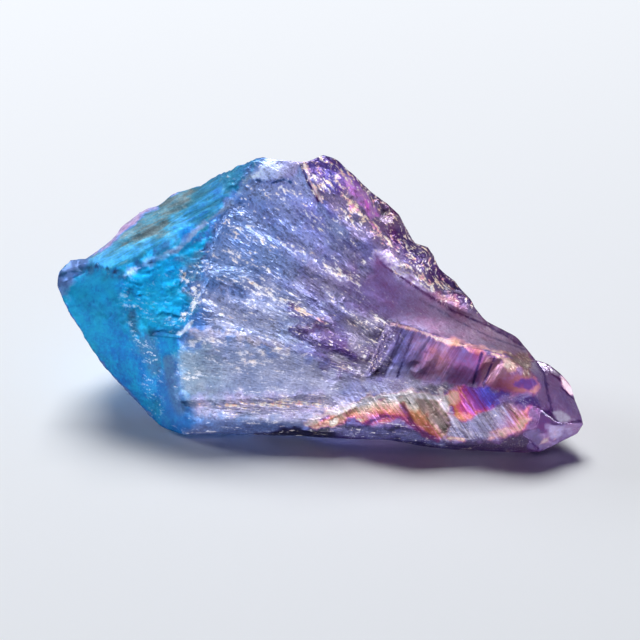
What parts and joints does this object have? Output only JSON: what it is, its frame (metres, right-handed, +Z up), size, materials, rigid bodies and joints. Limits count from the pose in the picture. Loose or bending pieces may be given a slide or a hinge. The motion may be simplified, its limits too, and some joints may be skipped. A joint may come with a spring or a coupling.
{
  "type": "titanium aura quartz point",
  "caption": "Rough broken quartz point with an iridescent vapour-coated surface, blue at the root and violet with gold ledges at the tip.",
  "frame": {"origin": "middle of the bounding box, at the height of the flat foot that the stone lies on", "axes": "+X from the broken root towards the natural tip, +Y towards the back, +Z up"},
  "size_m": [0.0416, 0.0196, 0.0185],
  "materials": {
    "coated_quartz": "gloss"
  },
  "bodies": {
    "root": {"quartz_point": "coated_quartz"}
  },
  "joints": []
}
